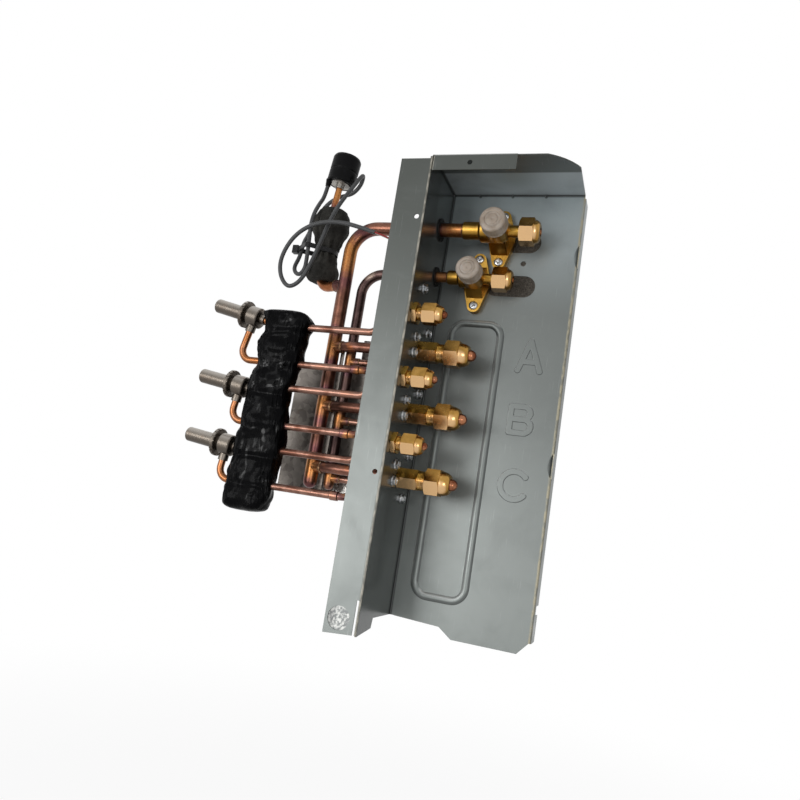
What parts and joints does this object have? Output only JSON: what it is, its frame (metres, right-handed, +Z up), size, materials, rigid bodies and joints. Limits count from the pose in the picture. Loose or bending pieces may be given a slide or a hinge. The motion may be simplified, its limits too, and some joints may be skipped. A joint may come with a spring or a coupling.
{
  "type": "three-circuit refrigerant distributor panel",
  "caption": "Folded sheet panel carrying service valves, flare ports, copper headers, expansion valves and a pressure switch.",
  "frame": {"origin": "midway between the two screw holes of the front flange, on the flange's front face", "axes": "+Z up along the panel, +X towards the flare ends of the ports, -Y out of the flange's front towards the viewer"},
  "size_m": [0.3222, 0.094, 0.4425],
  "materials": {
    "panel_sheet": "grey satin coat on zinc-coated sheet",
    "galvanised": "dull zinc coat",
    "felt": "dark matted felt",
    "grommet_rubber": "black rubber",
    "foil": "creased foil",
    "copper": "oxidised copper with heat tint at the joints",
    "bright_copper": "drawn copper, lightly tarnished",
    "brass": "machined brass",
    "valve_metal": "satin stainless steel",
    "mastic": "glossy black mastic",
    "foam": "matt closed-cell foam",
    "boot_rubber": "smooth black rubber",
    "lead_jacket": "matt grey jacket",
    "core_white": "white insulation",
    "core_red": "red insulation",
    "tie_plastic": "black nylon",
    "connector_plastic": "natural nylon",
    "cap_plastic": "pinkish translucent plastic",
    "zinc_screw": "bright zinc plate"
  },
  "bodies": {
    "root": {"cable_tie": "tie_plastic", "foam_wrap": "foam", "foil_tape": "foil", "gas_branch_a": "copper", "gas_branch_b": "copper", "gas_branch_c": "copper", "gas_header_pipe": "copper", "inlet_tube_a": "bright_copper", "inlet_tube_b": "bright_copper", "inlet_tube_c": "bright_copper", "lead_connector": "connector_plastic", "liquid_header_pipe": "copper", "long_port_a": "brass", "long_port_b": "brass", "long_port_bonnets": "bright_copper", "long_port_c": "brass", "long_port_lock_nuts": "brass", "long_port_nuts": "brass", "lower_valve_body": "brass", "lower_valve_bonnet": "bright_copper", "lower_valve_cap": "cap_plastic", "lower_valve_nut": "brass", "lower_valve_stem": "brass", "mastic_block": "mastic", "outlet_tube_a": "bright_copper", "outlet_tube_b": "bright_copper", "outlet_tube_c": "bright_copper", "pipe_bracket": "galvanised", "pipe_grommets": "grommet_rubber", "pipe_strap": "galvanised", "riser_tube": "bright_copper", "short_port_a": "brass", "short_port_b": "brass", "short_port_bonnets": "bright_copper", "short_port_c": "brass", "short_port_lock_nuts": "brass", "short_port_nuts": "brass", "slot_felt": "felt", "switch_boot": "boot_rubber", "switch_can": "valve_metal", "switch_core_red": "core_red", "switch_core_white": "core_white", "switch_lead": "lead_jacket", "upper_valve_body": "brass", "upper_valve_bonnet": "bright_copper", "upper_valve_cap": "cap_plastic", "upper_valve_nut": "brass", "upper_valve_stem": "brass", "valve_body_a": "valve_metal", "valve_body_b": "valve_metal", "valve_body_c": "valve_metal", "valve_can_a": "valve_metal", "valve_can_b": "valve_metal", "valve_can_c": "valve_metal", "valve_ear_screws": "zinc_screw", "valve_panel": "panel_sheet", "valve_ring_a": "valve_metal", "valve_ring_b": "valve_metal", "valve_ring_c": "valve_metal", "wall_screws": "zinc_screw"}
  },
  "joints": []
}
